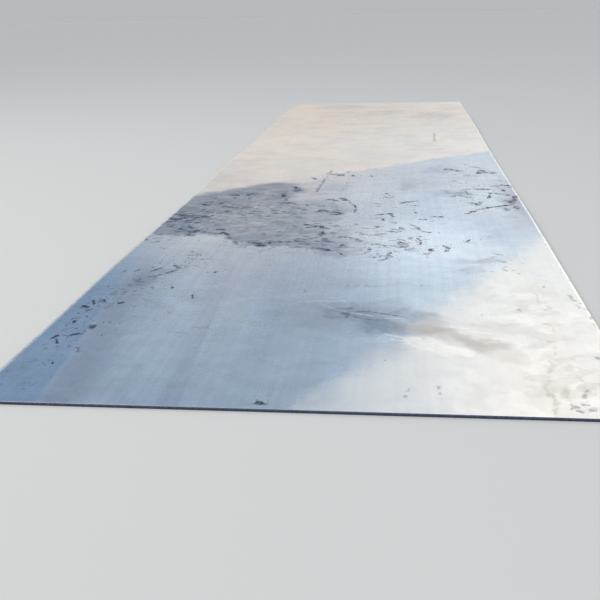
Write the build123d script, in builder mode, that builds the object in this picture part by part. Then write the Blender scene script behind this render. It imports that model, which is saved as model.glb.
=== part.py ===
"""Hot-rolled steel plate, cut to length, lying on a level floor.

The plate was rolled along Y. X runs across its width and Z up through its thickness.
The origin is at the middle of the underside, and all sizes are in millimetres.
"""

import os
from math import pi, radians, sin, tan

from build123d import *

# Stock size
plate_length = 6000.0
plate_width = 1500.0
plate_thickness = 8.0

# Long sides, left convex by the rolls
rolled_bulge = 2.2

# Short ends, cut by a shear that came down from above
rollover_radius = 0.8
clean_cut_share = 0.35
fracture_angle = 6.0

# Edge waves: the long sides grew longer than the middle in the rolls, so each margin
# bows up a little and lifts in low crests, which die out towards the middle of the
# width and before the sheared ends
level_end = 150.0
edge_bow = 0.8
right_wave_pitch = 2850.0
right_wave_reach = 520.0
right_crests = [7.0, 10.0]
left_wave_pitch = 1900.0
left_wave_reach = 420.0
left_crests = [6.0, 8.0, 5.0]

# Spacing of the sections that each margin is lofted through
station_pitch = 150.0

half_length = plate_length / 2
side_line = plate_width / 2 - rolled_bulge
waved_length = plate_length - 2 * level_end
fracture_height = plate_thickness * (1 - clean_cut_share)
fracture_setback = fracture_height * tan(radians(fracture_angle))


def edge_lift(y, wave_pitch, crests):
    """Height of a long side above the floor, at one place along the waved length."""
    wave_count = max(1, round(waved_length / wave_pitch))
    share = y / waved_length + 0.5
    wave = min(int(share * wave_count), wave_count - 1)
    crest = crests[wave % len(crests)] * sin(pi * (share * wave_count - wave)) ** 3
    return edge_bow * sin(pi * share) ** 2 + crest


def rolled_side(side, lift):
    """Convex long side, from the underside to the top."""
    return ThreePointArc(
        (side * side_line, lift),
        (side * (side_line + rolled_bulge), lift + plate_thickness / 2),
        (side * side_line, lift + plate_thickness),
    )


def level_section(y):
    """Section across the whole plate where it lies level."""
    with BuildSketch(Plane.XZ.offset(-y)) as section:
        with BuildLine():
            for height in (0, plate_thickness):
                Line((-side_line, height), (side_line, height))
            for side in (-1, 1):
                rolled_side(side, 0)
        make_face()
    return section.sketch


def margin_section(y, side, reach, lift):
    """Section across one margin: level at its inner line, lifted at the long side."""
    with BuildSketch(Plane.XZ.offset(-y)) as section:
        with BuildLine():
            Line((side * (side_line - reach), 0), (side * (side_line - reach), plate_thickness))
            for height in (0, plate_thickness):
                Bezier(
                    (side * (side_line - reach), height),
                    (side * (side_line - reach / 2), height),
                    (side * side_line, height + lift),
                )
            rolled_side(side, lift)
        make_face()
    return section.sketch


def margin_sections(side, reach, wave_pitch, crests):
    """Sections of one margin, from one level end to the other."""
    station_count = max(4, round(waved_length / station_pitch))
    stations = [waved_length * (step / station_count - 0.5) for step in range(station_count + 1)]
    return [margin_section(y, side, reach, edge_lift(y, wave_pitch, crests)) for y in stations]


def fracture_wedge(end):
    """Profile along the plate of the steel that broke away under the clean cut."""
    with BuildSketch(Plane.YZ) as wedge:
        with BuildLine():
            Polyline(
                (end * (half_length - 2 * fracture_setback), -fracture_height),
                (end * (half_length + fracture_setback), 2 * fracture_height),
                (end * (half_length + plate_thickness), 2 * fracture_height),
                (end * (half_length + plate_thickness), -fracture_height),
                close=True,
            )
        make_face()
    return wedge.sketch


with BuildPart() as steel_plate:
    # Level ends and the level middle between them
    for end in (-1, 1):
        extrude(level_section(end * half_length), amount=level_end, dir=(0, -end, 0))
    with BuildSketch():
        with Locations(((left_wave_reach - right_wave_reach) / 2, 0)):
            Rectangle(2 * side_line - left_wave_reach - right_wave_reach, waved_length)
    extrude(amount=plate_thickness)

    # Margins with their edge waves
    loft(margin_sections(-1, left_wave_reach, left_wave_pitch, left_crests))
    loft(margin_sections(1, right_wave_reach, right_wave_pitch, right_crests))

    # Sheared ends: the top edge rolled over by the blade, and the fracture below
    end_faces = steel_plate.faces().sort_by(Axis.Y)
    for end_face in (end_faces[0], end_faces[-1]):
        fillet(end_face.edges().sort_by(Axis.Z)[-1], radius=rollover_radius)
    for end in (-1, 1):
        extrude(fracture_wedge(end), amount=plate_width, both=True, mode=Mode.SUBTRACT)

steel_plate.part.label = "steel_plate"

os.makedirs("parts", exist_ok=True)
export_step(steel_plate.part, "parts/steel_plate.step")
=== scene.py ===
"""Hot-rolled steel plate on a pale studio floor: its finish, its dirt, the light and the camera.

All sizes are in metres. Y runs along the plate, X across it, and the floor is at Z = 0.
"""

import random
from math import cos, radians, sin

import bpy
import numpy as np
from mathutils import Matrix, Vector
from mathutils.bvhtree import BVHTree


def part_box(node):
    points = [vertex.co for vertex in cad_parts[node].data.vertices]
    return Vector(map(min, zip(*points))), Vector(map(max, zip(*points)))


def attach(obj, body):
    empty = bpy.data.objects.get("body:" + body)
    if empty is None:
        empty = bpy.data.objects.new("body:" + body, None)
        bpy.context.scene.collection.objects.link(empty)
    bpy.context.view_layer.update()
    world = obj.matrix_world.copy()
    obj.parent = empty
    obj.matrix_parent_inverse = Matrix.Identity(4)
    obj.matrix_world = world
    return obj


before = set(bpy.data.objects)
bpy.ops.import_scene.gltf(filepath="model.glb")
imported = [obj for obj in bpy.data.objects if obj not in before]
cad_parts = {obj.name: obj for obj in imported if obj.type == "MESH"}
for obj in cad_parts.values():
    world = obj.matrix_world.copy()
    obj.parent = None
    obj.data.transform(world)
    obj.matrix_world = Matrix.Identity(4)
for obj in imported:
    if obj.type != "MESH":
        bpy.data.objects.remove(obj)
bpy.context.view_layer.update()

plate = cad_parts["steel_plate"]
plate_low, plate_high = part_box("steel_plate")
plate_surface = BVHTree.FromPolygons(
    [corner.co for corner in plate.data.vertices],
    [polygon.vertices[:] for polygon in plate.data.polygons],
)

# Camera, at the photograph's viewing angle
camera_place = (0.2227, -4.5303, 0.8158)
camera_pan = radians(7.012)
camera_tilt = radians(19.814)
camera_roll = radians(-1.623)
camera_lens = 48.11
camera_shift = -0.01

# Studio: the floor, the plain light low and high in the sky, and the key light
floor_radius = 150.0
floor_colour = (0.80, 0.77, 0.73)
floor_roughness = 0.9
floor_specular = 0.0
low_colour = (0.468, 0.491, 0.509)
zenith_colour = (0.630, 0.690, 0.760)
key_place = (-5.0, -4.0, 6.0)
key_size = 5.0
key_power = 200.0
key_colour = (1.0, 0.97, 0.93)

# Soft panels of light, in degrees: azimuth from +Y towards +X, elevation, reach, full core; colour
soft_panels = [
    (-4, 26, 62, 34, (0.430, 0.545, 0.678)),
    (2, 1, 13.5, 8, (1.26, 1.11, 0.92)),
    (9, 21, 15.5, 5, (0.84, 1.06, 1.27)),
    (-11, 2, 12.5, 8, (2.25, 1.72, 1.22)),
    (13, 32, 15, 6, (2.95, 2.52, 2.02)),
]

# Colours of the steel and of what lies on it
scale_blue = (0.400, 0.475, 0.565)
scale_pale = (0.475, 0.540, 0.605)
scale_violet = (0.420, 0.455, 0.530)
scale_bright = (0.640, 0.700, 0.760)
# Deep blue paints shade in front of the far film and a sky reflection on the left side
shade_and_reflection_blue = (0.210, 0.315, 0.455)
# Tan and rosy dust of the far film, which also paint sunlight on the far half
dust_and_sunlight_tan = (0.900, 0.805, 0.690)
dust_and_sunlight_rosy = (0.730, 0.570, 0.440)
# Pale dust of the right film, which also paints a glare
dust_and_glare_pale = (0.890, 0.860, 0.790)
stain_grey = (0.125, 0.190, 0.285)
stain_violet = (0.270, 0.275, 0.355)
stain_brown = (0.350, 0.335, 0.325)
rust_brown = (0.420, 0.290, 0.240)
# Bare steel of scuffs and rims; on the rims it also paints a highlight
bare_steel_and_highlight = (0.870, 0.845, 0.795)
dirt_dark = (0.014, 0.025, 0.055)
dirt_tan = (0.520, 0.430, 0.300)
cut_steel = (0.135, 0.175, 0.275)
broken_steel = (0.070, 0.086, 0.135)

# Heights between which the rough break at the ends gives way to the clean cut
cut_line = (0.0052, 0.0058)

# Clean scale: its roughness, its share of metal and the depth of its relief
scale_roughness = (0.29, 0.23)
scale_metallic = 0.68
relief_depth = 0.0016

# Strength of the noise that makes the rims of patches ragged
rag_shift = 0.16

# Far dust film, which also paints sunlight on the far half: how far its edge, a painted shadow
# edge, moves along Y for each metre of X, and its soft rim at X = 0
sunlit_edge_slope = 0.80
sunlit_edge_rim = (-0.31, -0.23)

# Right dust film, which also paints a glare on the right of the near half: how far its edge moves
# along X for each metre of Y
glare_edge_slope = 0.54

# Worn rims, which also paint a highlight along the edges: distances to the edge at which they start
# and at which they are full
side_wear_and_highlight = (0.013, 0.006)
end_wear_and_highlight = (0.004, 0.0015)

# Rust gathers within this distance of the long sides
rust_reach = 0.07

# Soft ovals in the scale: place, half sizes across and along, turn in degrees, strength
smear = [
    (-0.70, -1.34, 0.20, 0.50, 0, 1.00),
    (-0.58, -1.02, 0.26, 0.40, 0, 1.00),
    (-0.42, -0.80, 0.24, 0.32, 0, 1.00),
    (-0.40, -1.30, 0.36, 0.56, 0, 0.85),
    (-0.20, -1.62, 0.28, 0.32, 0, 0.80),
    (-0.16, -1.20, 0.20, 0.34, 0, 0.60),
    (-0.04, -1.76, 0.16, 0.20, 0, 0.60),
    (-0.20, -0.72, 0.24, 0.24, 0, 0.30),
    (0.10, -1.60, 0.26, 0.30, 0, 0.10),
]
stains = [
    (-0.60, -2.13, 0.06, 0.10, 20, 0.50),
    (-0.55, -2.04, 0.09, 0.08, 0, 0.40),
    (-0.36, -2.28, 0.14, 0.09, 0, 0.20),
    (-0.10, -2.10, 0.32, 0.22, 0, 0.14),
    (0.02, -2.42, 0.24, 0.20, 0, 0.40),
    (0.10, -2.41, 0.22, 0.11, -30, 0.80),
    (0.17, -2.50, 0.14, 0.09, -30, 0.85),
    (0.25, -2.415, 0.15, 0.065, -14, 0.60),
    (0.13, -2.345, 0.18, 0.075, 0, 0.35),
    (0.18, -2.66, 0.10, 0.08, 0, 0.18),
    (0.62, -1.45, 0.15, 0.36, 0, 0.22),
    (0.25, -0.67, 0.06, 0.13, 0, 0.40),
    (0.45, -0.84, 0.16, 0.11, 20, 0.45),
    (0.42, -0.27, 0.12, 0.16, 0, 0.40),
    (0.50, -0.48, 0.24, 0.36, 0, 0.12),
    (0.49, -1.90, 0.12, 0.06, 0, 0.40),
    (0.45, -2.01, 0.08, 0.04, 0, 0.35),
    (-0.30, 2.70, 0.30, 0.30, 0, 0.20),
]
bright_clouds = [
    (0.28, -1.66, 0.34, 0.50, 0, 0.90),
    (0.24, -1.96, 0.24, 0.22, 0, 0.50),
    (-0.34, -2.54, 0.20, 0.55, 0, 0.38),
]
violet_stains = [
    (-0.50, -1.12, 0.24, 0.24, 0, 0.35),
    (0.75, -1.05, 0.14, 0.75, 0, 0.95),
    (0.30, -0.62, 0.20, 0.22, 0, 0.35),
]
brown_stains = [
    (0.30, -2.520, 0.15, 0.075, -30, 0.90),
    (0.41, -2.595, 0.15, 0.060, -35, 0.75),
    (0.45, -2.50, 0.16, 0.08, -20, 0.25),
    (0.50, -2.690, 0.13, 0.035, -42, 0.22),
    (0.48, 2.02, 0.26, 0.34, 0, 0.34),
    (0.06, 2.25, 0.28, 0.30, 0, 0.24),
]

# Front of the smear along Y, and its steps: from and to along X, and how far it moves
smear_front = -1.59
smear_steps = [(-0.46, -0.33, -0.14), (-0.20, 0.04, -0.13)]

# Lengthwise marks of the rolls, and the edge of a painted sky reflection on the left side: each a
# line through two places on the top face
roll_line = ((-0.256, -3.00), (-0.316, -2.17))
sky_reflection_line = ((-0.575, -2.99), (-0.645, -2.30))

# Strips beside these lines: both rims along X, each as where it is 0 and where it is 1
violet_strip = ((-0.075, -0.030), (0.004, -0.004))
pale_strip = ((-0.004, 0.006), (0.14, 0.05))
sky_reflection_strip = ((-0.010, 0.010), (0.135, 0.050))

# Stretch along Y over which the marks of the rolls and the painted sky reflection set in, towards
# the near end
roll_fade = (-1.80, -2.25)

# Dirt film: what it carries, the step of its grid, and the distance it keeps from the rims
film_layers = ("dirt", "tan", "polish")
film_step = 0.003
edge_gap = 0.004

# Height of the film from faint to full, depth sunk in, and the least amount that shows
film_height = (0.00002, 0.00010)
film_sink = 0.0001
film_least = 0.10

# Angle above which an edge of the film looks sharp
film_crease = radians(30)

# Stretches that the film is divided into: name, start and end along Y
film_stretches = [
    ("dirt_near", -3.10, -1.95),
    ("dirt_front", -1.95, -1.55),
    ("dirt_smear", -1.55, -1.15),
    ("dirt_middle", -1.15, -0.60),
    ("dirt_far", -0.60, 3.10),
]

# Dirt marks: where their plain rim ends and how far its rags may reach, in half widths
mark_rim = 1.3
mark_reach = 2.2

# Random noise: cells of its lattice each way, shift from layer to layer, seed of the specks
lattice_count = 89
layer_shift = (7.3, 3.1)
speck_seed = 11

# Noises that make the rims of marks ragged and that break marks up: cell size, layers, seed
rag_noise = (0.018, 3, 5)
break_noise = (0.010, 3, 6)

# Values of the second noise between which a mark breaks up
break_span = (0.42, 0.60)

# Flecks of torn scale lie longer across the plate than along it
fleck_stretch = 1.6

# Zones where the scale is torn in small flecks: place, half sizes, share that is torn
left_torn_zones = [
    (-0.66, -1.32, 0.18, 0.44, 1.0),
    (-0.48, -1.05, 0.22, 0.34, 0.7),
    (-0.68, -1.62, 0.10, 0.22, 0.6),
]
torn_zones = [
    (-0.40, -1.30, 0.36, 0.42, 0.8),
    (-0.16, -1.56, 0.34, 0.34, 0.8),
    (0.17, -1.58, 0.30, 0.34, 0.75),
    (0.05, -1.10, 0.40, 0.35, 0.30),
    (0.60, -0.85, 0.22, 0.55, 0.70),
    (0.60, -0.30, 0.20, 0.25, 0.50),
    (-0.52, -1.90, 0.12, 0.14, 0.4),
    (0.52, -1.93, 0.16, 0.14, 0.9),
    (-0.62, -2.25, 0.14, 0.24, 0.55),
    (-0.68, -2.55, 0.10, 0.40, 0.30),
    (-0.36, -2.50, 0.20, 0.20, 0.20),
    (0.48, 1.95, 0.22, 0.45, 0.45),
    (0.00, 2.20, 0.30, 0.40, 0.35),
]
pale_zones = [
    (0.60, -2.35, 0.20, 0.50, 0.8),
    (0.60, -2.80, 0.16, 0.24, 0.9),
    (0.42, -2.30, 0.18, 0.14, 0.6),
]

# Torn flecks: layer, zones, strength, size, lean, seed, and the noise that they start at
torn_patches = [
    ("dirt", left_torn_zones, 0.66, 0.014, 0.6, 12, 0.70),
    ("dirt", torn_zones, 0.55, 0.017, -0.25, 8, 0.72),
    ("polish", torn_zones[:6], 0.17, 0.030, 0.0, 21, 0.66),
    ("tan", pale_zones, 0.16, 0.030, 0.3, 31, 0.60),
]

# Scattered specks: how many, range across, range along, range of half widths, strength
dirt_specks = [
    (60, (-0.70, -0.53), (-2.62, -2.05), (0.003, 0.007), 0.70),
    (70, (-0.73, -0.60), (-2.95, -2.30), (0.003, 0.006), 0.50),
    (45, (-0.52, -0.44), (-1.96, -1.82), (0.003, 0.005), 0.60),
    (150, (-0.72, 0.70), (-2.95, 2.90), (0.003, 0.007), 0.40),
]
tan_specks = [
    (70, (0.34, 0.72), (-2.95, -2.05), (0.004, 0.010), 0.15),
]

# Crumbs close to larger marks: range of half widths, spread in half widths of the mark
crumb_sizes = (0.0025, 0.005)
crumb_spread = 1.8

# What is added to the spread of the crumbs, across and along
crumb_spread_more = (0.006, 0.010)

# Dirt marks, read off the top face: lines through a few places, and their half width
left_spots = [
    ([(-0.626, -2.540), (-0.618, -2.556)], 0.012),
    ([(-0.654, -2.606), (-0.643, -2.598)], 0.009),
    ([(-0.700, -2.632), (-0.692, -2.616)], 0.007),
    ([(-0.688, -2.503), (-0.685, -2.514)], 0.006),
    ([(-0.688, -2.634), (-0.670, -2.668)], 0.004),
    ([(-0.606, -2.356), (-0.600, -2.353)], 0.008),
    ([(-0.694, -2.340), (-0.680, -2.372)], 0.005),
    ([(-0.706, -2.388), (-0.692, -2.394)], 0.008),
    ([(-0.633, -2.786), (-0.630, -2.794)], 0.004),
    ([(-0.601, -2.697), (-0.599, -2.703)], 0.004),
    ([(-0.742, -1.655), (-0.736, -1.670)], 0.008),
    ([(-0.487, -2.206), (-0.483, -2.212)], 0.005),
    ([(-0.405, -2.268), (-0.396, -2.304)], 0.004),
    ([(-0.386, -2.040), (-0.382, -2.052)], 0.005),
    ([(-0.092, -2.977), (-0.066, -2.978)], 0.004),
    ([(-0.084, -2.969), (-0.074, -2.970)], 0.006),
    ([(-0.676, -2.336), (-0.664, -2.330), (-0.655, -2.345)], 0.004),
]
loop_mark = [
    ([(-0.604, -1.948), (-0.594, -1.962)], 0.006),
    ([(-0.614, -1.990), (-0.604, -2.004)], 0.008),
    ([(-0.540, -1.980), (-0.516, -2.008), (-0.530, -2.050), (-0.586, -2.112)], 0.008),
    ([(-0.575, -2.000), (-0.600, -2.050)], 0.006),
]
smear_rim = [
    ([(-0.640, -1.450), (-0.600, -1.478)], 0.014),
    ([(-0.590, -1.535), (-0.570, -1.520)], 0.016),
    ([(-0.600, -1.590), (-0.570, -1.600)], 0.012),
    ([(-0.510, -1.545), (-0.500, -1.565)], 0.010),
    ([(-0.500, -1.500), (-0.470, -1.505)], 0.012),
    ([(-0.490, -1.566), (-0.465, -1.546), (-0.442, -1.566), (-0.426, -1.622)], 0.009),
    ([(-0.395, -1.670), (-0.372, -1.722)], 0.006),
    ([(-0.325, -1.672), (-0.292, -1.704), (-0.280, -1.726)], 0.014),
    ([(-0.262, -1.660), (-0.256, -1.702)], 0.006),
    ([(-0.230, -1.662), (-0.216, -1.680)], 0.006),
    ([(-0.080, -1.752), (-0.030, -1.780)], 0.013),
    ([(0.004, -1.742), (0.018, -1.716)], 0.009),
    ([(0.002, -1.802), (0.034, -1.846)], 0.006),
    ([(-0.140, -1.462), (-0.092, -1.450), (-0.062, -1.476)], 0.010),
    ([(-0.080, -1.530), (-0.068, -1.572)], 0.012),
    ([(-0.150, -1.416), (-0.136, -1.424)], 0.009),
    ([(-0.745, -1.250), (-0.690, -1.265), (-0.650, -1.275)], 0.012),
    ([(-0.690, -1.300), (-0.660, -1.340)], 0.008),
]
middle_marks = [
    ([(0.108, -1.268), (0.150, -1.238), (0.190, -1.228), (0.195, -1.282)], 0.009),
    ([(0.153, -1.318), (0.157, -1.345)], 0.005),
    ([(0.264, -1.400), (0.290, -1.460), (0.302, -1.508), (0.334, -1.534)], 0.007),
    ([(0.228, -1.460), (0.229, -1.490)], 0.006),
    ([(0.134, -1.450), (0.136, -1.462)], 0.006),
    ([(0.132, -1.515), (0.138, -1.525)], 0.006),
    ([(0.168, -1.515), (0.210, -1.526)], 0.005),
    ([(0.076, -1.546), (0.092, -1.574), (0.140, -1.570), (0.160, -1.596)], 0.006),
    ([(0.012, -1.602), (0.054, -1.620), (0.075, -1.664)], 0.007),
    ([(0.104, -1.670), (0.112, -1.690)], 0.005),
    ([(0.132, -1.702), (0.154, -1.696), (0.168, -1.722)], 0.008),
    ([(0.262, -1.612), (0.268, -1.630)], 0.010),
    ([(0.290, -1.622), (0.304, -1.660), (0.297, -1.700)], 0.005),
    ([(0.224, -1.664), (0.250, -1.700), (0.255, -1.726)], 0.006),
    ([(0.226, -1.736), (0.234, -1.732)], 0.011),
    ([(0.262, -1.768), (0.284, -1.748)], 0.008),
    ([(0.332, -1.752), (0.335, -1.790), (0.311, -1.826)], 0.007),
    ([(0.384, -1.720), (0.396, -1.742), (0.390, -1.786)], 0.006),
    ([(0.118, -1.750), (0.120, -1.786), (0.104, -1.812)], 0.006),
    ([(0.190, -1.802), (0.187, -1.856), (0.178, -1.886), (0.158, -1.896)], 0.009),
    ([(0.136, -1.850), (0.136, -1.872)], 0.005),
    ([(0.310, -1.330), (0.330, -1.334)], 0.009),
    ([(0.360, -1.280), (0.392, -1.286)], 0.010),
    ([(0.480, -1.632), (0.466, -1.668)], 0.005),
]
ring_mark = [
    ([(-0.104, -0.962), (-0.068, -0.976)], 0.013),
    ([(-0.038, -0.945), (-0.022, -0.985)], 0.015),
    ([(-0.010, -0.990), (0.008, -1.030), (0.028, -1.096), (0.034, -1.160), (0.030, -1.216)], 0.005),
    ([(-0.116, -1.178), (-0.078, -1.206), (-0.024, -1.226)], 0.017),
    ([(-0.060, -1.240), (-0.020, -1.250)], 0.008),
]
back_marks = [
    ([(-0.284, -0.690), (-0.272, -0.730), (-0.264, -0.770)], 0.020),
    ([(-0.150, -0.350), (-0.100, -0.385), (-0.080, -0.395)], 0.018),
    ([(-0.052, -0.300), (-0.048, -0.330)], 0.007),
    ([(-0.020, -0.395), (-0.018, -0.425)], 0.009),
    ([(0.074, -0.410), (0.076, -0.440)], 0.008),
    ([(-0.230, -0.450), (-0.208, -0.495)], 0.008),
    ([(-0.570, -0.864), (-0.530, -0.880)], 0.012),
    ([(-0.485, -0.872), (-0.466, -0.822)], 0.011),
    ([(-0.322, -0.850), (-0.318, -0.900)], 0.011),
    ([(-0.298, -0.945), (-0.292, -0.975)], 0.010),
    ([(-0.304, -1.044), (-0.272, -1.026), (-0.246, -1.040)], 0.010),
    ([(-0.192, -1.062), (-0.182, -1.084)], 0.007),
    ([(-0.545, -1.118), (-0.500, -1.128)], 0.014),
    ([(-0.665, -1.050), (-0.645, -1.085)], 0.009),
    ([(0.160, -0.845), (0.172, -0.880)], 0.008),
    ([(0.154, -0.908), (0.170, -0.934), (0.196, -0.912)], 0.009),
    ([(0.226, -1.044), (0.250, -1.020), (0.290, -1.000)], 0.010),
    ([(0.280, -1.072), (0.290, -1.080)], 0.008),
    ([(0.286, -1.205), (0.292, -1.225)], 0.006),
]
right_marks = [
    ([(0.474, -0.258), (0.500, -0.282), (0.524, -0.296)], 0.016),
    ([(0.556, -0.425), (0.604, -0.440)], 0.008),
    ([(0.618, -0.330), (0.621, -0.370)], 0.012),
    ([(0.642, -0.290), (0.650, -0.345), (0.700, -0.375)], 0.013),
    ([(0.576, -0.740), (0.600, -0.772), (0.622, -0.762)], 0.013),
    ([(0.456, -0.916), (0.490, -0.880), (0.525, -0.937)], 0.006),
    ([(0.657, -0.855), (0.705, -0.897)], 0.008),
    ([(0.690, -1.030), (0.712, -1.060)], 0.016),
    ([(0.610, -0.745), (0.614, -0.770)], 0.008),
    ([(0.690, -0.680), (0.738, -0.696)], 0.014),
    ([(0.695, -0.775), (0.697, -0.805)], 0.009),
    ([(0.634, -0.846), (0.622, -0.900), (0.614, -0.960)], 0.006),
    ([(0.524, -0.790), (0.530, -0.860)], 0.004),
    ([(0.532, -1.036), (0.560, -1.092), (0.574, -1.030)], 0.006),
    ([(0.500, -1.236), (0.550, -1.172), (0.600, -1.132), (0.660, -1.114)], 0.008),
    ([(0.660, -1.114), (0.700, -1.080), (0.716, -1.020), (0.734, -0.920)], 0.010),
    ([(0.662, -1.140), (0.668, -1.175)], 0.012),
    ([(0.708, -1.130), (0.712, -1.165)], 0.009),
]
tan_marks = [
    ([(0.614, -2.470), (0.632, -2.488), (0.628, -2.520)], 0.007),
    ([(0.600, -2.570), (0.604, -2.592)], 0.008),
    ([(0.612, -2.630), (0.606, -2.668)], 0.008),
    ([(0.584, -2.710), (0.590, -2.740), (0.572, -2.780)], 0.008),
    ([(0.630, -2.796), (0.644, -2.830), (0.626, -2.866)], 0.010),
    ([(0.566, -2.820), (0.552, -2.860), (0.562, -2.930), (0.552, -2.985)], 0.009),
    ([(0.598, -2.860), (0.588, -2.900)], 0.011),
    ([(0.612, -2.180), (0.628, -2.240), (0.622, -2.310)], 0.006),
    ([(0.640, -2.330), (0.650, -2.350), (0.630, -2.365)], 0.006),
    ([(0.420, -2.480), (0.470, -2.505)], 0.006),
    ([(0.440, -2.585), (0.475, -2.590)], 0.010),
]
leaf_mark = [
    ([(0.262, -2.602), (0.290, -2.636)], 0.030),
    ([(0.300, -2.620), (0.345, -2.664)], 0.034),
    ([(0.355, -2.655), (0.395, -2.680)], 0.024),
    ([(0.188, -2.560), (0.215, -2.574), (0.250, -2.590)], 0.004),
    ([(0.205, -2.594), (0.250, -2.610)], 0.004),
]
scuff_marks = [
    ([(-0.066, -2.320), (0.062, -2.309)], 0.010),
    ([(-0.006, -2.332), (0.041, -2.378), (0.072, -2.398)], 0.005),
    ([(0.093, -2.408), (0.149, -2.430)], 0.007),
    ([(0.186, -2.443), (0.241, -2.446)], 0.005),
    ([(0.345, -2.500), (0.407, -2.512)], 0.008),
    ([(0.405, -2.530), (0.480, -2.552)], 0.006),
    ([(-0.475, -1.586), (-0.436, -1.592)], 0.012),
    ([(-0.338, -1.300), (-0.250, -1.340)], 0.012),
    ([(-0.440, -1.090), (-0.380, -1.130), (-0.330, -1.110)], 0.016),
    ([(-0.150, -1.500), (-0.060, -1.440)], 0.010),
]
rubbed_marks = [
    ([(0.066, -2.412), (0.084, -2.420), (0.078, -2.446)], 0.008),
    ([(0.088, -2.432), (0.122, -2.450), (0.168, -2.462)], 0.004),
    ([(0.055, -2.369), (0.093, -2.372)], 0.004),
    ([(0.096, -2.397), (0.139, -2.395), (0.185, -2.412), (0.221, -2.426)], 0.005),
]
long_scratches = [
    ([(-0.140, -0.250), (-0.158, -0.500), (-0.172, -0.800)], 0.008),
    ([(-0.040, -0.560), (-0.052, -0.780)], 0.003),
    ([(-0.028, -0.560), (-0.038, -0.760)], 0.003),
    ([(0.436, 0.700), (0.442, 0.860), (0.448, 1.050)], 0.009),
    ([(0.440, 0.400), (0.480, 0.420)], 0.012),
]
grey_smudges = [
    ([(0.622, -2.942), (0.630, -2.958)], 0.011),
    ([(0.566, -2.968), (0.580, -2.970)], 0.006),
    ([(0.590, -2.962), (0.606, -2.972)], 0.007),
    ([(0.618, -2.850), (0.634, -2.852), (0.640, -2.872), (0.626, -2.902)], 0.005),
    ([(0.692, -2.684), (0.708, -2.690)], 0.009),
    ([(0.596, -2.940), (0.604, -2.952)], 0.007),
    ([(0.248, -2.870), (0.240, -2.930)], 0.005),
    ([(0.314, -2.862), (0.316, -2.905)], 0.005),
    ([(0.722, -2.240), (0.726, -2.282)], 0.008),
    ([(0.724, -2.320), (0.727, -2.345)], 0.005),
    ([(-0.136, -2.714), (-0.100, -2.754)], 0.0025),
    ([(0.264, -2.616), (0.270, -2.620)], 0.004),
    ([(0.055, -2.195), (0.068, -2.161)], 0.006),
    ([(0.081, -2.190), (0.101, -2.152)], 0.007),
    ([(0.118, -2.167), (0.137, -2.178), (0.167, -2.165), (0.175, -2.172)], 0.005),
]

# Ragged dirt marks: marks, strength, widening, raggedness of their rims
ragged_marks = [
    (loop_mark, 0.75, 1.2, 1.3),
    (smear_rim, 0.80, 1.3, 1.8),
    (middle_marks, 0.80, 1.3, 2.0),
    (ring_mark, 0.85, 1.3, 1.6),
    (back_marks, 0.80, 1.2, 2.0),
    (right_marks, 0.80, 1.5, 2.0),
    (long_scratches, 0.45, 1.2, 1.3),
    (grey_smudges, 0.28, 1.2, 1.3),
]


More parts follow.
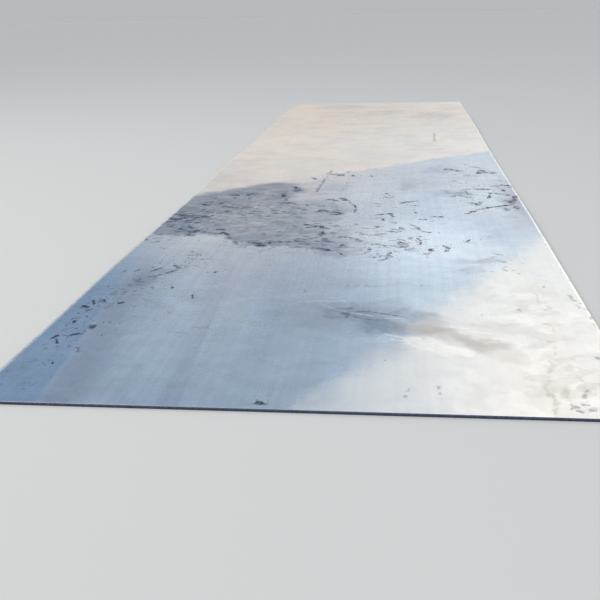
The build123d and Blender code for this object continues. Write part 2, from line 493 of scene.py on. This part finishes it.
class Graph:
    """Short calls that add nodes to one node tree and link them."""

    def __init__(self, tree):
        self.tree = tree
        self.shader = tree.nodes.get("Principled BSDF")

    def add(self, kind, inputs=(), **settings):
        """One node; inputs are pairs of a socket and a value or another node's output."""
        node = self.tree.nodes.new("ShaderNode" + kind)
        for name, value in settings.items():
            setattr(node, name, value)
        for socket, value in inputs:
            self.feed(node.inputs[socket], value)
        return node

    def feed(self, socket, value):
        """Sets a socket to a value, or links another node's output to it."""
        if isinstance(value, bpy.types.NodeSocket):
            self.tree.links.new(value, socket)
        elif isinstance(value, tuple) and socket.type == "RGBA":
            socket.default_value = (*value, 1)
        else:
            socket.default_value = value

    def maths(self, operation, first, second=0.0):
        return self.add("Math", [(0, first), (1, second)], operation=operation).outputs[0]

    def plus(self, first, second):
        return self.maths("ADD", first, second)

    def minus(self, first, second):
        return self.maths("SUBTRACT", first, second)

    def times(self, first, second):
        return self.maths("MULTIPLY", first, second)

    def larger(self, first, second):
        return self.maths("MAXIMUM", first, second)

    def vectors(self, operation, first, second):
        return self.add("VectorMath", [(0, first), (1, second)], operation=operation).outputs[0]

    def sized(self, place, middle, size, turn):
        """Place measured from a middle, after a turn about Z, in units of a size for each axis."""
        pairs = [("Vector", place), ("Location", middle)]
        pairs += [("Rotation", (0, 0, turn)), ("Scale", size)]
        return self.add("Mapping", pairs, vector_type="TEXTURE").outputs[0]

    def noise(self, place, size, detail=4.0, rough=0.55, turn=0.0):
        """Layered noise between 0 and 1; size is its grain along X, Y and Z in metres."""
        pairs = [("Vector", self.sized(place, (0, 0, 0), size, turn)), ("Scale", 1.0)]
        pairs += [("Detail", detail), ("Roughness", rough)]
        return self.add("TexNoise", pairs).outputs[0]

    def span(self, value, start, end, low=0.0, high=1.0):
        """Goes smoothly from low to high as the value goes from start to end."""
        pairs = [("Value", value), ("From Min", start), ("From Max", end)]
        pairs += [("To Min", low), ("To Max", high)]
        return self.add("MapRange", pairs, interpolation_type="SMOOTHSTEP").outputs[0]

    def band(self, value, rise, fall):
        """1 between two soft rims; each is given as where it is 0 and where it is 1."""
        return self.times(self.span(value, *rise), self.span(value, *fall))

    def spot(self, place, x, y, across, along, turn, core):
        """Soft oval mask: 1 in its middle and 0 at its rim."""
        local = self.sized(place, (x, y, 0), (across, along, 1), radians(turn))
        far = self.add("VectorMath", [(0, local)], operation="LENGTH").outputs["Value"]
        return self.span(far, 1.0, core)

    def spots(self, place, rows, core=0.3):
        """The strongest of several soft ovals, each with its own strength."""
        total = 0.0
        for *oval, strength in rows:
            total = self.larger(total, self.times(self.spot(place, *oval, core), strength))
        return total

    def blend(self, factor, first, second):
        """Mix of two colours."""
        node = self.add("Mix", data_type="RGBA")
        self.feed(node.inputs[0], factor)
        self.feed(node.inputs[6], first)
        self.feed(node.inputs[7], second)
        return node.outputs[2]

    def dimmed(self, colour, factor):
        """Colour times a number."""
        pairs = [(0, colour), ("Scale", factor)]
        return self.add("VectorMath", pairs, operation="SCALE").outputs[0]

    def past_line(self, x, y, line):
        """Distance along X from a line through two places."""
        (ax, ay), (bx, by) = line
        run = self.times(self.minus(y, ay), (bx - ax) / (by - ay))
        return self.minus(self.minus(x, ax), run)

    def relief(self, height, metres):
        """Bump from a height between 0 and 1."""
        bump = self.add("Bump", [("Height", height), ("Distance", metres)])
        self.feed(self.shader.inputs["Normal"], bump.outputs[0])


def new_material(name):
    """Material and the graph of its nodes."""
    material = bpy.data.materials.new(name)
    material.use_nodes = True
    return material, Graph(material.node_tree)


def add_object(name, data):
    """Object in the scene that shows a mesh, a light or a camera."""
    made = bpy.data.objects.new(name, data)
    bpy.context.collection.objects.link(made)
    return made


def make_camera():
    """Camera with the pan, tilt and roll of the photograph."""
    data = bpy.data.cameras.new("camera")
    data.lens = camera_lens
    data.shift_x = camera_shift
    turn = Matrix.Rotation(camera_pan, 4, "Z")
    turn = turn @ Matrix.Rotation(radians(90) - camera_tilt, 4, "X")
    turn = turn @ Matrix.Rotation(camera_roll, 4, "Z")
    camera = add_object("camera", data)
    camera.matrix_world = Matrix.Translation(camera_place) @ turn
    bpy.context.scene.camera = camera


def make_key_light():
    """Large square light that faces the middle of the plate."""
    data = bpy.data.lights.new("key_light", "AREA")
    data.shape = "SQUARE"
    data.size = key_size
    data.energy = key_power
    data.color = key_colour
    light = add_object("key_light", data)
    light.location = key_place
    light.rotation_mode = "QUATERNION"
    light.rotation_quaternion = (-Vector(key_place)).to_track_quat("-Z", "Y")
    light.visible_camera = False


def make_world():
    """Plain soft light from all round, and large panels that only the surfaces see."""
    world = bpy.data.worlds.new("studio")
    world.use_nodes = True
    graph = Graph(world.node_tree)
    ray = graph.add("TexCoord").outputs["Generated"]
    height = graph.add("SeparateXYZ", [(0, ray)]).outputs["Z"]
    plain = graph.blend(graph.span(height, 0.25, 0.90), low_colour, zenith_colour)
    light = plain
    for azimuth, elevation, reach, core, colour in soft_panels:
        turn, lift = radians(azimuth), radians(elevation)
        towards = (sin(turn) * cos(lift), cos(turn) * cos(lift), sin(lift))
        near = graph.add("VectorMath", [(0, ray), (1, towards)], operation="DOT_PRODUCT")
        mask = graph.span(near.outputs["Value"], cos(radians(reach)), cos(radians(core)))
        light = graph.blend(mask, light, colour)
    light = graph.blend(graph.add("LightPath").outputs["Is Camera Ray"], light, plain)
    graph.feed(world.node_tree.nodes["Background"].inputs["Color"], light)
    bpy.context.scene.world = world


def make_floor():
    """Plain pale floor out to the horizon."""
    mesh = bpy.data.meshes.new("floor")
    far = floor_radius
    corners = [(-far, -far, 0), (far, -far, 0), (far, far, 0), (-far, far, 0)]
    mesh.from_pydata(corners, [], [(0, 1, 2, 3)])
    material, graph = new_material("floor")
    graph.feed(graph.shader.inputs["Base Color"], floor_colour)
    graph.feed(graph.shader.inputs["Roughness"], floor_roughness)
    graph.feed(graph.shader.inputs["Specular IOR Level"], floor_specular)
    mesh.materials.append(material)
    add_object("floor", mesh)


class SteelFinish:
    """Material of the plate: mill scale, and one after another what lies on it."""

    def __init__(self):
        self.material, self.graph = new_material("mill_scale_steel")
        self.find_places()
        self.lay_scale()
        self.mark_rolls()
        self.shade_scale()
        self.lay_dust_and_painted_light()
        self.lay_stains()
        self.show_film()
        self.lay_rust()
        self.finish_edges()
        self.set_gloss()
        self.set_relief()

    def cover(self, mask, tint):
        """Blends one more colour over the finish so far."""
        self.colour = self.graph.blend(mask, self.colour, tint)

    def find_places(self):
        """Place on the plate, distance to its rims, and masks of its sides and of its top."""
        graph = self.graph
        self.place = graph.add("TexCoord").outputs["Object"]
        self.x, self.y, self.z = graph.add("SeparateXYZ", [(0, self.place)]).outputs
        normal = graph.add("NewGeometry").outputs["Normal"]
        upward = graph.add("SeparateXYZ", [(0, normal)]).outputs["Z"]
        self.to_side = graph.minus(plate_high.x, graph.maths("ABSOLUTE", self.x))
        self.to_end = graph.minus(plate_high.y, graph.maths("ABSOLUTE", self.y))
        to_rim = graph.maths("MINIMUM", self.to_side, self.to_end)
        outside = graph.span(to_rim, edge_gap, 0.9 * edge_gap)
        steep = graph.span(graph.maths("ABSOLUTE", upward), 0.85, 0.45)
        self.side = graph.times(steep, outside)
        self.top = graph.times(graph.span(upward, -0.6, -0.2), graph.minus(1.0, self.side))

        # Places shifted a little by noise, so that patches get ragged rims
        push = graph.add("TexNoise", [("Vector", self.place), ("Scale", 11.0), ("Detail", 4.0)])
        push = graph.vectors("SUBTRACT", push.outputs["Color"], (0.5, 0.5, 0.5))
        self.ragged = graph.vectors("ADD", self.place, graph.dimmed(push, rag_shift))
        self.ragged_x, self.ragged_y, _ = graph.add("SeparateXYZ", [(0, self.ragged)]).outputs

    def lay_scale(self):
        """Mill scale in slow clouds, and the noises of its mottle, roll streaks and grain."""
        graph = self.graph
        cloud = graph.noise(self.place, (0.42, 0.95, 0.42))
        violet = graph.noise(self.place, (0.55, 1.20, 0.55), 3.0, turn=0.4)
        self.mottle = graph.noise(self.ragged, (0.060, 0.085, 0.060), 4.0, 0.60)
        self.streak = graph.noise(self.place, (0.020, 1.60, 0.20))
        self.grain = graph.noise(self.place, (0.0035, 0.0035, 0.0035), 2.0)
        self.colour = graph.blend(graph.span(cloud, 0.36, 0.64), scale_blue, scale_pale)
        self.cover(graph.span(violet, 0.50, 0.68, 0.0, 0.6), scale_violet)
        self.cover(graph.spots(self.ragged, bright_clouds), scale_bright)

    def mark_rolls(self):
        """Marks of the rolls: a violet strip with a pale one beside it; and a bluer left side with
        a strip at its edge, which is a painted sky reflection.
        """
        graph = self.graph
        past_roll = graph.past_line(self.x, self.y, roll_line)
        past_sky_reflection = graph.past_line(self.x, self.y, sky_reflection_line)
        near_end = graph.span(self.y, *roll_fade)
        for mask, much, tint in (
            (graph.band(past_roll, *violet_strip), 0.22, stain_violet),
            (graph.band(past_roll, *pale_strip), 0.75, scale_pale),
            # Painted sky reflection on the left side: a strip at its edge, and the whole left side
            # bluer
            (graph.band(past_sky_reflection, *sky_reflection_strip), 0.48, stain_violet),
            (graph.span(past_sky_reflection, 0.010, -0.020), 0.62, shade_and_reflection_blue),
        ):
            self.cover(graph.times(mask, graph.times(near_end, much)), tint)

    def shade_scale(self):
        """Small lighter and darker places all over the scale."""
        graph = self.graph
        self.ripple = graph.noise(self.ragged, (0.110, 0.060, 0.110), 4.0, 0.60, turn=-0.15)
        shade = 1.0
        for layer, much in (
            (self.mottle, 0.04),
            (self.streak, 0.04),
            (self.ripple, 0.05),
            (self.grain, 0.015),
        ):
            shade = graph.times(shade, graph.span(layer, 0.32, 0.68, 1 - much, 1 + much))
        self.colour = graph.dimmed(self.colour, shade)

    def lay_dust_and_painted_light(self):
        """Thin dusty films on the far half and along the right side, which also paint sunlight on
        the far half and a glare on the right, and a band of bluer scale in front of the far film,
        which is painted shade.
        """
        graph = self.graph
        film = graph.noise(self.ragged, (0.22, 0.50, 0.22), 5.0)
        thick = graph.times(graph.span(film, 0.30, 0.62, 0.75, 1.0), self.top)
        self.past_far = graph.minus(self.ragged_y, graph.times(self.x, sunlit_edge_slope))
        # Far film: dust, and painted sunlight over the far half up to a sharp painted shadow edge
        far_dust_and_sunlight = graph.times(graph.span(self.past_far, *sunlit_edge_rim), thick)
        far_dust_and_sunlight = graph.times(far_dust_and_sunlight, graph.span(self.y, 0.2, 2.4, 0.68, 0.76))
        from_near_end = graph.minus(self.y, plate_low.y)
        # Right film: pale dust, and a painted glare along the right side of the near half
        past_right = graph.minus(self.ragged_x, graph.times(from_near_end, glare_edge_slope))
        right_dust_and_glare = graph.times(graph.span(past_right, -0.06, 0.07, 0.0, 0.46), thick)
        self.dust_and_painted_light = graph.larger(far_dust_and_sunlight, right_dust_and_glare)

        # Painted shade: a bluer band just in front of the far film, where its painted sunlight ends
        painted_shade_band = graph.band(self.past_far, (-1.15, -0.45), sunlit_edge_rim[::-1])
        self.cover(graph.times(painted_shade_band, 0.33), shade_and_reflection_blue)
        rosy = graph.noise(self.ragged, (0.26, 0.17, 0.26))
        rosy = graph.span(rosy, 0.46, 0.66, 0.0, 0.50)
        rosy = graph.plus(rosy, graph.span(self.y, 0.4, 2.4, 0.0, 0.50))
        self.cover(far_dust_and_sunlight, graph.blend(rosy, dust_and_sunlight_tan, dust_and_sunlight_rosy))
        self.cover(right_dust_and_glare, dust_and_glare_pale)

    def smear_mask(self):
        """The large smear: cut off sharply towards the near end, and faint where the far film
        paints sunlight.
        """
        graph = self.graph
        front = smear_front
        for start, end, step in smear_steps:
            front = graph.plus(front, graph.span(self.x, start, end, 0.0, step))
        behind = graph.span(graph.minus(self.ragged_y, front), -0.014, 0.014)
        mask = graph.times(graph.spots(self.ragged, smear, 0.50), behind)
        mask = graph.times(mask, graph.span(self.ripple, 0.34, 0.66, 1.00, 0.66))
        return graph.times(mask, graph.span(self.past_far, *sunlit_edge_rim[::-1], 0.15, 1.0))

    def lay_stains(self):
        """The smear and the smaller stains: grey, violet and brown."""
        graph = self.graph
        worn = graph.span(self.mottle, 0.34, 0.60, 1.0, 0.75)
        stain = graph.times(graph.spots(self.ragged, stains), worn)
        self.dull = graph.times(graph.larger(self.smear_mask(), stain), self.top)
        self.cover(self.dull, stain_grey)
        for rows, tint in ((violet_stains, stain_violet), (brown_stains, stain_brown)):
            self.cover(graph.times(graph.spots(self.ragged, rows, 0.1), self.top), tint)

    def show_film(self):
        """Polished places, tan deposits and dirt, as the dirt film carries them."""
        nodes = [self.graph.add("Attribute", attribute_name=layer) for layer in film_layers]
        self.dirt, self.tan, self.polish = (node.outputs["Fac"] for node in nodes)
        self.cover(self.polish, bare_steel_and_highlight)
        self.cover(self.tan, dirt_tan)
        self.cover(self.dirt, dirt_dark)

    def lay_rust(self):
        """Rust: a few specks, and more of it close to the long sides."""
        graph = self.graph
        self.speck = graph.noise(self.place, (0.016, 0.024, 0.016), 3.0, 0.60)
        rusty = graph.noise(self.place, (0.35, 0.50, 0.35), 3.0)
        limit = graph.span(self.to_side, 0.0, rust_reach, 0.56, 0.90)
        limit = graph.minus(limit, graph.span(rusty, 0.45, 0.75, 0.0, 0.06))
        self.rust = graph.span(graph.minus(self.speck, limit), 0.0, 0.10, 0.0, 0.55)
        self.cover(self.rust, rust_brown)

    def finish_edges(self):
        """Worn rim that also paints a highlight, rolled sides, and sheared ends: a neat cut above
        and a rough break below.
        """
        graph = self.graph
        # Bright rims: worn bare steel, and a painted highlight along the rolled edges
        rim = graph.span(self.to_end, *end_wear_and_highlight, 0.0, 0.4)
        rim = graph.larger(graph.span(self.to_side, *side_wear_and_highlight), rim)
        rim = graph.times(rim, graph.span(self.speck, 0.66, 0.44, 0.25, 0.85))
        self.cover(rim, bare_steel_and_highlight)
        self.drag = graph.noise(self.place, (0.0025, 0.4, 0.02), 3.0)
        cut = graph.blend(graph.span(self.z, *cut_line), broken_steel, cut_steel)
        cut = graph.dimmed(cut, graph.span(self.drag, 0.3, 0.7, 0.75, 1.3))
        cut = graph.blend(graph.span(self.speck, 0.56, 0.66, 0.0, 0.15), cut, rust_brown)
        self.cover(self.side, cut)
        graph.feed(graph.shader.inputs["Base Color"], self.colour)

    def set_gloss(self):
        """Dusty films, which also paint sunlight and a glare, stains, dirt, rust and the cut edges
        are duller than the scale.
        """
        graph = self.graph
        inputs = graph.shader.inputs
        rough = graph.span(self.mottle, 0.3, 0.7, *scale_roughness)
        for mask, much in (
            (self.dull, 0.14),
            (self.dust_and_painted_light, 0.20),
            (self.rust, 0.25),
            (self.side, 0.15),
            (self.dirt, 0.50),
            (self.tan, 0.25),
        ):
            rough = graph.plus(rough, graph.times(mask, much))
        graph.feed(inputs["Roughness"], graph.maths("MINIMUM", rough, 0.90))
        graph.feed(inputs["Specular IOR Level"], graph.span(self.dirt, 0.1, 0.8, 0.5, 0.08))
        matt = graph.larger(graph.larger(self.rust, self.dirt), graph.times(self.dust_and_painted_light, 0.55))
        graph.feed(inputs["Metallic"], graph.times(graph.minus(1.0, matt), scale_metallic))

    def set_relief(self):
        """Slow waviness, the lie of the scale, its grain and the drag of the shear."""
        graph = self.graph
        height = graph.noise(self.place, (0.30, 0.45, 0.30), 1.0)
        dents = graph.noise(self.place, (0.07, 0.10, 0.07), 1.0)
        drag = graph.times(self.drag, self.side)
        for layer, much in ((dents, 0.09), (self.grain, 0.002), (drag, 0.10)):
            height = graph.plus(height, graph.times(layer, much))
        graph.relief(height, relief_depth)


def soft_noise(x, y, cell, lattice):
    """Smooth random values between 0 and 1 that change over one cell."""
    count = len(lattice)
    column, row = np.floor(x / cell).astype(int), np.floor(y / cell).astype(int)
    across, along = x / cell - column, y / cell - row
    across, along = across ** 2 * (3 - 2 * across), along ** 2 * (3 - 2 * along)
    rows = []
    for step in (0, 1):
        left = lattice[column % count, (row + step) % count]
        right = lattice[(column + 1) % count, (row + step) % count]
        rows.append(left * (1 - across) + right * across)
    return rows[0] * (1 - along) + rows[1] * along


def layered_noise(x, y, cell, layers, seed):
    """Several layers of soft noise, each half the size and half the strength of the last."""
    lattice = np.random.default_rng(seed).random((lattice_count, lattice_count))
    shift_x, shift_y = layer_shift
    shares = [0.5 ** layer for layer in range(layers)]
    total = sum(
        share * soft_noise(x + shift_x * layer, y + shift_y * layer, share * cell, lattice)
        for layer, share in enumerate(shares)
    )
    return total / sum(shares)


def soft_step(value, start, end):
    """Goes smoothly from 0 to 1 as the value goes from start to end."""
    share = np.clip((value - start) / (end - start), 0, 1)
    return share ** 2 * (3 - 2 * share)


def distance_to_line(x, y, points):
    """Distance of each grid place to a line through a few points."""
    nearest = np.full(x.shape, np.inf)
    for (ax, ay), (bx, by) in zip(points, points[1:]):
        length = (bx - ax) ** 2 + (by - ay) ** 2
        share = np.clip(((x - ax) * (bx - ax) + (y - ay) * (by - ay)) / length, 0, 1)
        away = np.hypot(x - ax - share * (bx - ax), y - ay - share * (by - ay))
        nearest = np.minimum(nearest, away)
    return nearest


class DirtFilm:
    """Amounts of dirt, tan deposit and polish over a grid on the top face."""

    def __init__(self):
        across = np.arange(plate_low.x + edge_gap, plate_high.x - edge_gap, film_step)
        along = np.arange(plate_low.y + edge_gap, plate_high.y - edge_gap, film_step)
        self.x, self.y = np.meshgrid(across, along, indexing="ij")
        self.layers = {name: np.zeros(self.x.shape) for name in film_layers}
        self.ragged = layered_noise(self.x, self.y, *rag_noise)
        self.broken = layered_noise(self.x, self.y, *break_noise)

    def window(self, points, reach):
        """The part of the grid within reach of a few places."""
        part = []
        for line, numbers in zip((self.x[:, 0], self.y[0]), zip(*points)):
            part.append(slice(*np.searchsorted(line, (min(numbers) - reach, max(numbers) + reach))))
        return tuple(part)

    def draw(self, layer, marks, strength, wide=1.0, rag=1.3, broken=0.8, soft=1.0):
        """Paints marks: each has points of a line and a half width."""
        for points, half in marks:
            half *= wide
            part = self.window(points, mark_reach * half + film_step)
            if min(self.x[part].shape) < 2:
                continue
            far = distance_to_line(self.x[part], self.y[part], points) / half
            lift = soft_step(far + rag * (self.ragged[part] - 0.5), mark_rim, mark_rim - soft)
            lift *= 1 - broken * soft_step(self.broken[part], *break_span)
            self.layers[layer][part] = np.maximum(self.layers[layer][part], strength * lift)

    def tear(self, layer, zones, strength, cell, lean, seed, limit):
        """Paints small ragged flecks inside soft zones; they lie across the plate and may lean."""
        share = np.zeros(self.x.shape)
        for px, py, across, along, much in zones:
            far = np.hypot((self.x - px) / across, (self.y - py) / along)
            share = np.maximum(share, much * np.clip(1.6 * (1 - far), 0, 1))
        fine = layered_noise(self.x / fleck_stretch, self.y - lean * self.x, cell, 4, seed)
        fine += 0.3 * layered_noise(self.x, self.y, 0.12, 2, seed + 1) - 0.15
        torn = soft_step(fine + 0.16 * share, limit, limit + 0.12) * (share > 0.02)
        self.layers[layer] = np.maximum(self.layers[layer], strength * torn * (0.4 + 0.6 * share))


def crumbs_along(rng, marks, count):
    """Small marks scattered close to larger ones."""
    crumbs = []
    more_x, more_y = crumb_spread_more
    for points, half in marks:
        for _ in range(count):
            px, py = rng.choice(points)
            px += rng.gauss(0, crumb_spread * half + more_x)
            py += rng.gauss(0, crumb_spread * half + more_y)
            size = rng.uniform(*crumb_sizes)
            crumbs.append(([(px, py), (px + rng.uniform(-size, size), py + size)], size))
    return crumbs


def random_spots(rng, count, across, along, sizes):
    """Small marks scattered over a rectangle."""
    smallest, largest = sizes
    spots = []
    for _ in range(count):
        px, py = rng.uniform(*across), rng.uniform(*along)
        half = smallest + (largest - smallest) * rng.random() ** 2
        end_x, end_y = px + rng.uniform(-half, half), py + rng.uniform(half, 2 * half)
        spots.append(([(px, py), (end_x, end_y)], half))
    return spots


def paint_dirt():
    """Dirt splashes, scrapes, torn scale, tan deposits and polished scuffs."""
    rng = random.Random(speck_seed)
    film = DirtFilm()
    film.draw("dirt", left_spots, 0.95, rag=1.1, broken=0.3, soft=0.7)
    for *where, strength in dirt_specks:
        film.draw("dirt", random_spots(rng, *where), strength)
    for row in ragged_marks:
        film.draw("dirt", *row)
    fleck_marks = smear_rim + middle_marks + ring_mark + back_marks + right_marks
    film.draw("dirt", crumbs_along(rng, fleck_marks, 9), 0.60)
    film.draw("dirt", crumbs_along(rng, left_spots + loop_mark, 5), 0.60)
    film.draw("dirt", rubbed_marks, 0.52, broken=0.5)
    film.draw("tan", tan_marks, 0.34, rag=2.0, broken=0.5)
    for *where, strength in tan_specks:
        film.draw("tan", random_spots(rng, *where), strength)
    film.draw("polish", leaf_mark, 0.52, rag=0.90, broken=0.35, soft=0.70)
    film.draw("polish", scuff_marks, 0.34, rag=0.60, broken=0.50)
    for torn in torn_patches:
        film.tear(*torn)
    return film


def surface_height(x, y):
    """Height of the plate's top face at one place."""
    return plate_surface.ray_cast(Vector((x, y, 1.0)), Vector((0, 0, -1)))[0].z


def outline_cells(inside):
    """Corners and polygons of the marked part of a grid, cut half way to the unmarked part."""
    touched = inside[:-1, :-1] | inside[1:, :-1] | inside[1:, 1:] | inside[:-1, 1:]
    corners, polygons = {}, []
    for i, j in zip(*(axis.tolist() for axis in np.nonzero(touched))):
        ring = [(i, j), (i + 1, j), (i + 1, j + 1), (i, j + 1)]
        loop = []
        for here, after in zip(ring, ring[1:] + ring[:1]):
            if inside[here]:
                loop.append(corners.setdefault((here, here), len(corners)))
            if inside[here] != inside[after]:
                rim = (min(here, after), max(here, after))
                loop.append(corners.setdefault(rim, len(corners)))
        polygons.append(loop)
    return list(corners), polygons


def closed_film(places, polygons):
    """Corners and faces of a thin film: its top, its underside and the rim between them."""
    count = len(places)
    corners = [(px, py, top) for px, py, base, top in places]
    corners += [(px, py, base - film_sink) for px, py, base, top in places]
    edges = {(a, b) for loop in polygons for a, b in zip(loop, loop[1:] + loop[:1])}
    faces = list(polygons)
    faces += [[count + corner for corner in reversed(loop)] for loop in polygons]
    faces += [(b, a, count + a, count + b) for a, b in sorted(edges) if (b, a) not in edges]
    return corners, faces


def film_mesh(name, film, start, end):
    """Thin closed film over one stretch of the plate, wherever something is painted."""
    first_row, last_row = np.searchsorted(film.y[0], (start, end))
    part = (slice(None), slice(first_row, min(last_row + 1, film.y.shape[1])))
    x, y = film.x[part], film.y[part]
    layers = {layer: grid[part] for layer, grid in film.layers.items()}
    total = np.maximum.reduce(list(layers.values()))
    keys, polygons = outline_cells(total > film_least)
    low, high = film_height
    places, amounts = [], {layer: [] for layer in layers}
    for first, second in keys:
        here_x, here_y = (x[first] + x[second]) / 2, (y[first] + y[second]) / 2
        base = surface_height(here_x, here_y)
        much = min(total[first], total[second])
        places.append((here_x, here_y, base, base + low + (high - low) * much))
        for layer, grid in layers.items():
            amounts[layer].append(float(grid[first]) if first == second else 0.0)
    corners, faces = closed_film(places, polygons)
    mesh = bpy.data.meshes.new(name)
    mesh.from_pydata(corners, [], faces)
    mesh.shade_smooth()
    mesh.set_sharp_from_angle(angle=film_crease)
    for layer, numbers in amounts.items():
        mesh.attributes.new(layer, "FLOAT", "POINT").data.foreach_set("value", numbers + numbers)
    return mesh


def lay(name, mesh, material):
    """Puts a piece on the plate."""
    mesh.materials.append(material)
    piece = add_object(name, mesh)
    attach(piece, "root")


make_camera()
make_world()
make_floor()
make_key_light()
bpy.context.scene.view_settings.view_transform = "Standard"

finish = SteelFinish().material
plate.data.materials.clear()
plate.data.materials.append(finish)

dirt = paint_dirt()
for name, start, end in film_stretches:
    lay(name, film_mesh(name, dirt, start, end), finish)
